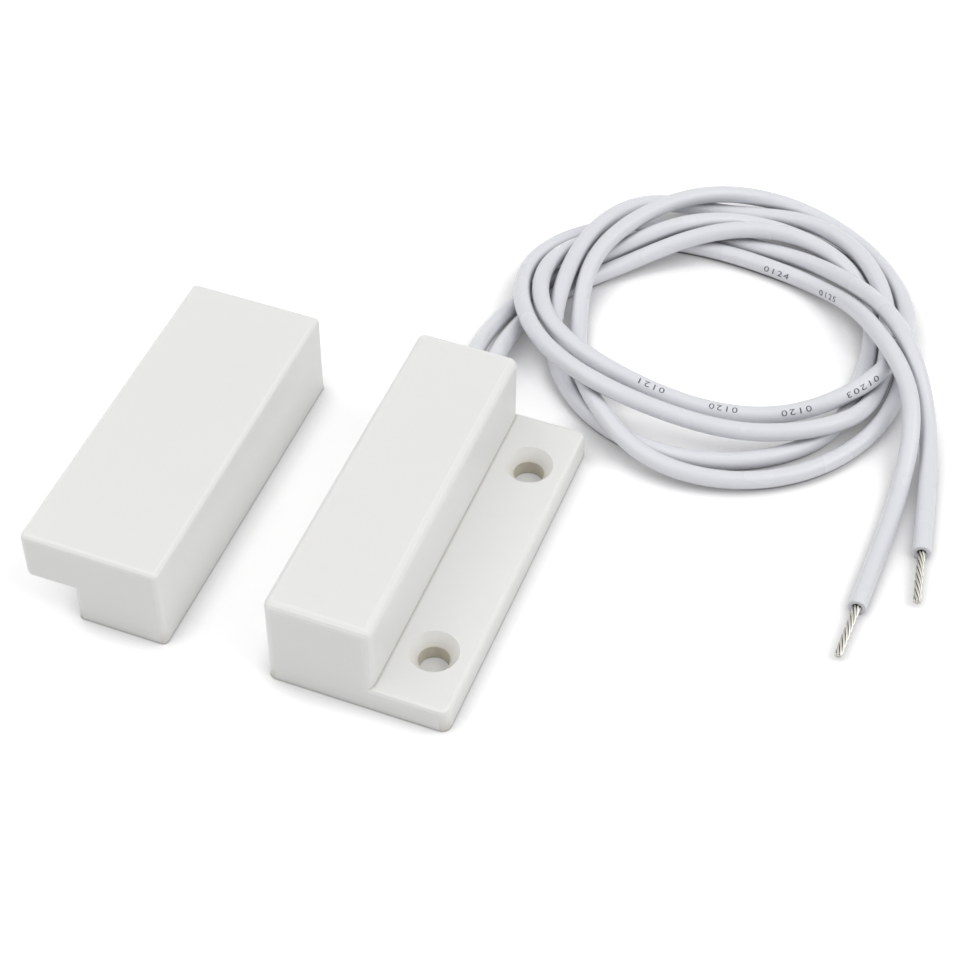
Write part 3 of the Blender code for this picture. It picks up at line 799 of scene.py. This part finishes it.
@dataclass(frozen=True)
class InkMark:
    """Plain digits printed along a lead, as thin closed shapes bent onto its surface."""

    digits: str
    run: float
    turn_deg: float
    height: float = 1.0 * MM
    stretch: float = 1.5
    spacing: float = 1.25
    lift: float = 0.015 * MM
    sunk: float = 0.03 * MM
    strip: float = 0.1 * MM
    curve_steps: int = 3

    def build(self, target: bmesh.types.BMesh, tube: Tube, slot: int) -> None:
        """Adds the digits to a mesh.

        Args:
            target: The lead's mesh.
            tube: The lead's tube.
            slot: The ink's place among the mesh's materials.
        """
        text = bpy.data.curves.new("ink_mark", "FONT")
        text.body, text.size, text.resolution_u = self.digits, self.height, self.curve_steps
        text.align_x, text.align_y = "CENTER", "CENTER"
        text.space_character = self.spacing
        text.extrude = (self.lift + self.sunk) / 2
        holder = bpy.data.objects.new("ink_mark", text)
        bpy.context.scene.collection.objects.link(holder)
        bpy.context.view_layer.update()
        shapes = bpy.context.evaluated_depsgraph_get()
        flat = bpy.data.meshes.new_from_object(holder.evaluated_get(shapes))
        bm = bmesh.new()
        bm.from_mesh(flat)
        bmesh.ops.remove_doubles(bm, verts=bm.verts, dist=WELD)
        cuts = int(self.height / self.strip / 2)
        for step in range(-cuts, cuts + 1):
            parts = bm.verts[:] + bm.edges[:] + bm.faces[:]
            bmesh.ops.bisect_plane(
                bm, geom=parts, dist=ON_CUT, plane_co=(0, step * self.strip, 0), plane_no=(0, 1, 0)
            )
        made = {}
        for vert in bm.verts:
            run = self.run + vert.co.x * self.stretch
            turn = vert.co.y / tube.radii[0] + radians(self.turn_deg)
            up = (self.lift - self.sunk) / 2 + vert.co.z
            made[vert] = target.verts.new(tube.on_surface(run, turn, up))
        for face in bm.faces:
            target.faces.new([made[vert] for vert in face.verts]).material_index = slot
        log.info("print %s: %d faces", self.digits, len(bm.faces))
        bm.free()
        bpy.data.objects.remove(holder)
        bpy.data.curves.remove(text)
        bpy.data.meshes.remove(flat)


@dataclass
class Lead:
    """One free lead: its route from the block, its insulation and its stripped end."""

    letter: str
    length: float
    route: list[Point]
    exit_place: Point = (9.85 * MM, 21.75 * MM, 0.0)
    diameter: float = 2.1 * MM
    edge_rounding: float = 0.06 * MM
    skin_sides: int = 40
    hole_diameter: float = 1.04 * MM
    hole_depth: float = 0.5 * MM
    hole_flare: float = 0.04 * MM
    flare_depth: float = 0.03 * MM
    start_gap: float = 0.15 * MM
    conductor: float = 0.96 * MM
    strand_gap: float = 0.012 * MM
    strand_rounding: float = 0.03 * MM
    strand_tip: float = 0.018 * MM
    strand_sides: int = 20
    strand_steps: int = 60
    strand_start: float = 0.05 * MM
    strip: float = 7.0 * MM
    end_gap: float = 0.15 * MM
    lay: float = 6.5 * MM
    ring_count: int = 6
    steps: int = 560
    marks: tuple[InkMark, ...] = ()

    def line(self) -> Points:
        """Works out the centreline of the insulation.

        Returns:
            Its points in metres, one a row.
        """
        points = smooth_curve(self.route, self.steps) * MM
        points[0, 1] += self.start_gap
        return points + np.array(self.exit_place)

    def build(self, finishes: FinishShelf) -> list[bpy.types.Object]:
        """Args:
            finishes: The materials.

        Returns:
            The pieces, the insulation first.
        """
        line = self.line()
        skin = self.build_skin(line, finishes)
        strands = self.build_strands(line, finishes.tin)
        return [skin, *strands]

    def build_skin(self, line: Points, finishes: FinishShelf) -> bpy.types.Object:
        """The insulation, cut square, with the conductor's hole in its end and its print.

        Args:
            line: The centreline.
            finishes: The materials.

        Returns:
            The piece.
        """
        radius, hole = self.diameter / 2, self.hole_diameter / 2
        rounding = self.edge_rounding
        along = (line[-1] - line[-2]) / np.linalg.norm(line[-1] - line[-2])
        end = line[-1]
        body = line[:-1]
        points, radii = list(body), [radius] * len(body)
        for turn in (0.0, pi / 6, pi / 3, pi / 2):
            points.append(end - along * rounding * (1 - sin(turn)))
            radii.append(radius - rounding * (1 - cos(turn)))
        points += [end, end - along * self.flare_depth, end - along * self.hole_depth]
        radii += [hole + self.hole_flare, hole, hole]
        tube = Tube(np.array(points), np.array(radii), self.skin_sides)
        tube.along[len(body) :] = along
        side = np.cross(along, (0.0, 0.0, 1.0))
        side /= np.linalg.norm(side)
        tube.side[len(body) - 1 :] = side
        tube.over[len(body) - 1 :] = np.cross(side, along)
        name = f"lead_{self.letter}_skin"
        mesh = tube.mesh(name)
        bm = bmesh.new()
        bm.from_mesh(mesh)
        for mark in self.marks:
            mark.build(bm, tube, 1)
        bm.to_mesh(mesh)
        bm.free()
        piece = add_piece(name, mesh, finishes.skin)
        if self.marks:
            mesh.materials.append(finishes.ink)
        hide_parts(f"lead_{self.letter}")
        return piece

    def build_strands(self, line: Points, surface: bpy.types.Material) -> list[bpy.types.Object]:
        """One straight strand with a ring of strands laid round it, cut square.

        Args:
            line: The centreline of the insulation.
            surface: The strands' material.

        Returns:
            The pieces.
        """
        share = sin(pi / self.ring_count)
        strand = (self.conductor * share - self.strand_gap) / (1 + share)
        ring = (self.conductor - strand) / 2
        core = 2 * (ring - strand / 2 - self.strand_gap)
        along = Vector(line[-1] - line[-2]).normalized()
        side = along.cross(Vector((0, 0, 1))).normalized()
        over = side.cross(along)
        start = Vector(line[-1]) + along * self.end_gap
        inside = self.hole_depth + self.end_gap - self.strand_start
        runs = np.linspace(-inside, self.strip, self.strand_steps)
        pieces = []
        for number in range(self.ring_count + 1):
            thick = core if number == 0 else strand
            places = []
            for run in runs:
                place = start + along * run
                if number:
                    turn = 2 * pi * ((number - 1) / self.ring_count + run / self.lay)
                    place = place + (side * cos(turn) + over * sin(turn)) * ring
                places.append(tuple(place))
            places.append(tuple(Vector(places[-1]) + along * self.strand_tip))
            radii = [thick / 2] * len(runs) + [thick / 2 - self.strand_rounding]
            tube = Tube(np.array(places), np.array(radii), self.strand_sides)
            name = f"strand_{self.letter}_{number}"
            piece = add_piece(f"{name}_wire", tube.mesh(f"{name}_wire"), surface)
            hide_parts(name)
            pieces.append(piece)
        return pieces


ROUTE_A: list[Point] = [
    (1.3, 0.0, 6.0), (1.3, 3.0, 5.9), (0.2, 13.5, 1.8), (2.2, 21.6, 1.1), (8.9, 30.6, 1.5),
    (16.1, 36.7, 3.3), (25.2, 41.0, 3.5), (35.2, 38.4, 2.7), (40.1, 31.8, 1.4), (41.5, 22.2, 1.1),
    (40.2, 12.3, 1.1), (33.1, 4.8, 1.1), (23.3, 2.1, 1.1), (13.3, 4.8, 1.1), (6.5, 11.8, 1.4),
    (3.5, 22.4, 3.2), (4.4, 33.8, 3.9), (9.0, 41.8, 2.5), (17.6, 45.0, 1.1), (27.7, 45.6, 2.2),
    (37.2, 39.7, 3.4), (41.7, 32.3, 3.2), (43.8, 20.5, 1.5), (41.8, 13.0, 3.1), (33.1, 7.2, 3.3),
    (23.0, 5.6, 4.0), (13.0, 6.1, 5.6), (3.8, 12.0, 4.6), (-1.3, 21.5, 3.2), (0.2, 32.1, 1.3),
    (7.3, 38.0, 1.1), (18.7, 39.8, 1.1), (28.3, 39.0, 1.9), (37.5, 33.7, 4.6), (45.5, 25.1, 6.2),
    (50.5, 16.8, 2.8), (52.9, 8.0, 1.3), (54.7, -1.9, 1.1),
]
ROUTE_B: list[Point] = [
    (-1.3, 0.0, 6.0), (-1.3, 3.0, 5.9), (-2.3, 14.3, 1.7), (-0.1, 22.4, 1.1), (5.9, 30.8, 1.6),
    (13.3, 37.5, 3.6), (22.3, 42.7, 2.4), (32.1, 42.1, 1.3), (40.4, 36.0, 1.1), (45.5, 26.2, 1.1),
    (45.3, 15.5, 1.1), (40.2, 6.2, 1.1), (31.5, 0.6, 1.3), (20.9, 0.1, 2.5), (13.5, 5.2, 3.4),
    (7.9, 16.0, 1.1), (5.7, 26.7, 3.6), (8.9, 36.8, 4.4), (15.2, 44.6, 3.6), (24.6, 48.3, 1.9),
    (34.8, 45.4, 1.1), (40.1, 40.1, 1.9), (44.8, 28.8, 3.6), (42.3, 18.7, 3.7), (34.4, 12.5, 1.7),
    (24.1, 10.4, 1.4), (13.8, 10.2, 3.8), (4.8, 14.6, 4.4), (0.7, 24.1, 3.5), (3.7, 32.9, 1.6),
    (13.2, 37.1, 1.1), (23.7, 37.3, 1.1), (33.3, 34.8, 1.8), (41.5, 26.1, 5.8), (48.1, 17.0, 5.1),
    (50.0, 8.3, 1.8), (50.2, -1.5, 1.1), (50.0, -12.1, 1.1),
]


PRINT_B: tuple[InkMark, ...] = (
    InkMark("01203", 235.5 * MM, 135.0), InkMark("0120", 243.6 * MM, 128.0),
    InkMark("0120", 252.2 * MM, 108.0), InkMark("0121", 261.3 * MM, 108.0),
    InkMark("0124", 321.6 * MM, 24.0), InkMark("0125", 330.2 * MM, 14.0),
)


# --- Halves ---------------------------------------------------------------------------


def dress(node: str, surface: bpy.types.Material) -> bpy.types.Object:
    """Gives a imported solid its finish.

    Args:
        node: The node's name.
        surface: The material.

    Returns:
        The solid.
    """
    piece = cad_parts[node]
    piece.data.materials.clear()
    piece.data.materials.append(surface)
    return piece


@dataclass
class SwitchHalf:
    """The reed switch's moulding and everything inside it."""

    housing: str = "switch_housing"
    capsule: str = "glass_capsule"
    metal: tuple[str, ...] = ("reed_wire_a", "reed_wire_b", "reed_blade_a", "reed_blade_b")
    tinned: tuple[str, ...] = ("splice_a", "splice_b", "conductor_a_tail", "conductor_b_tail")
    insulated: tuple[str, ...] = ("lead_a_tail", "lead_b_tail")
    cast: tuple[str, ...] = ("potting_bed", "potting_cap")

    def build(self, finishes: FinishShelf) -> list[bpy.types.Object]:
        """Dresses the housing and its contents.

        Args:
            finishes: The materials.

        Returns:
            The solids.
        """
        groups = (
            ((self.housing,), finishes.plastic), ((self.capsule,), finishes.glass),
            (self.metal, finishes.reed), (self.tinned, finishes.tin),
            (self.insulated, finishes.skin), (self.cast, finishes.resin),
        )
        return [dress(name, surface) for names, surface in groups for name in names]


@dataclass
class MagnetHalf:
    """The stepped moulding with the bar magnet in its foot."""

    housing: str = "magnet_housing"
    magnet: str = "bar_magnet"
    plug: str = "magnet_plug"

    def build(self, finishes: FinishShelf) -> list[bpy.types.Object]:
        """Dresses the housing, the magnet and the plug.

        Args:
            finishes: The materials.

        Returns:
            The solids.
        """
        return [
            dress(self.housing, finishes.plastic),
            dress(self.magnet, finishes.ferrite),
            dress(self.plug, finishes.resin),
        ]


# --- Studio ---------------------------------------------------------------------------


@dataclass
class SoftLamp:
    """One square soft light, aimed at a place."""

    name: str
    place: Point
    watts: float
    aim: Point = (0.015, 0.01, 0.0)
    size: float = 0.9
    colour: Rgb = (1.0, 1.0, 1.0)

    def build(self) -> bpy.types.Object:
        """Makes the lamp and puts it in the scene.

        Returns:
            The lamp object.
        """
        data = bpy.data.lights.new(self.name, "AREA")
        data.shape = "SQUARE"
        data.size, data.energy, data.color = self.size, self.watts, self.colour
        lamp = bpy.data.objects.new(self.name, data)
        lamp.location = self.place
        towards = Vector(self.aim) - Vector(self.place)
        lamp.rotation_euler = towards.to_track_quat("-Z", "Y").to_euler()
        bpy.context.scene.collection.objects.link(lamp)
        return lamp


@dataclass
class Studio:
    """White floor, even surroundings and soft light from above."""

    floor_size: float = 6.0
    floor_squares: int = 8
    floor_colour: Rgb = (0.86, 0.86, 0.86)
    floor_shade: Rgb = (0.45, 0.45, 0.46)
    floor_shown: float = 0.36
    white_from: tuple[float, float] = (0.15, 0.9)
    contact_reach: float = 4.5 * MM
    contact_range: tuple[float, float] = (0.82, 0.5)
    contact_share: float = 0.62
    line_reach: float = 0.3 * MM
    line_range: tuple[float, float] = (0.9, 0.5)
    shelter_samples: int = 6
    world_colour: Rgb = (1.0, 1.0, 1.0)
    world_strength: float = 0.375
    lamps: list[SoftLamp] = field(
        default_factory=lambda: [
            SoftLamp("right_light", (0.8, 0.1, 0.9), 5.4),
            SoftLamp("left_light", (-0.8, 0.1, 0.9), 2.3),
            SoftLamp("front_light", (-0.5, -0.6, 1.0), 2.4),
            SoftLamp("top_light", (0.0, 0.0, 1.3), 2.1),
        ]
    )

    def build(self) -> None:
        """Makes the floor, the surroundings and the lamps."""
        self.build_floor()
        self.build_world()
        for lamp in self.lamps:
            lamp.build()

    def build_floor(self) -> None:
        """A plain floor that keeps its shadows, has painted contact shade near pieces and shows white."""
        bm = bmesh.new()
        squares = self.floor_squares
        bmesh.ops.create_grid(bm, x_segments=squares, y_segments=squares, size=self.floor_size / 2)
        mesh = bpy.data.meshes.new("studio_floor")
        bm.to_mesh(mesh)
        bm.free()
        floor = bpy.data.objects.new("studio_floor", mesh)
        bpy.context.scene.collection.objects.link(floor)
        surface = bpy.data.materials.new("studio_floor")
        surface.use_nodes = True
        wires = Wiring(surface.node_tree)
        # painted contact shade: the floor is darkened near pieces by how shut in it is, and its white
        # glow is cut there too
        near = wires.shelter(self.contact_reach, *self.contact_range, self.shelter_samples)
        near = wires.maths("MULTIPLY", near, self.contact_share)
        line = wires.shelter(self.line_reach, *self.line_range, self.shelter_samples)
        shut = wires.maths("MAXIMUM", near, line)
        colour = wires.blend(shut, self.floor_colour, self.floor_shade)
        paint = wires.add("BsdfDiffuse", {"Color": colour})
        place = wires.add("NewGeometry").outputs["Position"]
        away = wires.add("VectorMath", {0: place}, operation="LENGTH").outputs["Value"]
        level = wires.span(away, *self.white_from, start=self.floor_shown)
        level = wires.maths("MULTIPLY", level, wires.maths("SUBTRACT", 1.0, shut))
        shine = wires.add("Emission", {"Strength": wires.maths("MULTIPLY", wires.seen(), level)})
        both = wires.add("AddShader", {0: paint.outputs[0], 1: shine.outputs[0]})
        wires.add("OutputMaterial", {"Surface": both.outputs[0]})
        mesh.materials.append(surface)

    def build_world(self) -> None:
        """Even surroundings that show white behind the floor."""
        world = bpy.data.worlds.new("studio")
        world.use_nodes = True
        bpy.context.scene.world = world
        wires = Wiring(world.node_tree)
        strength = wires.span(wires.seen(), 0.0, 1.0, start=self.world_strength)
        light = wires.add("Background", {"Color": self.world_colour, "Strength": strength})
        wires.add("OutputWorld", {"Surface": light.outputs[0]})


# --- Making it all --------------------------------------------------------------------


def main() -> None:
    """Builds the camera, the leads, both halves and the studio, in that order."""
    logging.basicConfig(level=logging.INFO, format="%(name)s: %(message)s")
    PhotoCamera().build()
    finishes = FinishShelf()
    leads = Lead("a", 0.3741, ROUTE_A), Lead("b", 0.3825, ROUTE_B, marks=PRINT_B)
    for part in (*leads, SwitchHalf(), MagnetHalf()):
        for piece in part.build(finishes):
            log.info("%s: %d faces", piece.name, len(piece.data.polygons))
    Studio().build()
    scene = bpy.context.scene
    scene.view_settings.view_transform = "Standard"


if __name__ == "__main__":
    main()
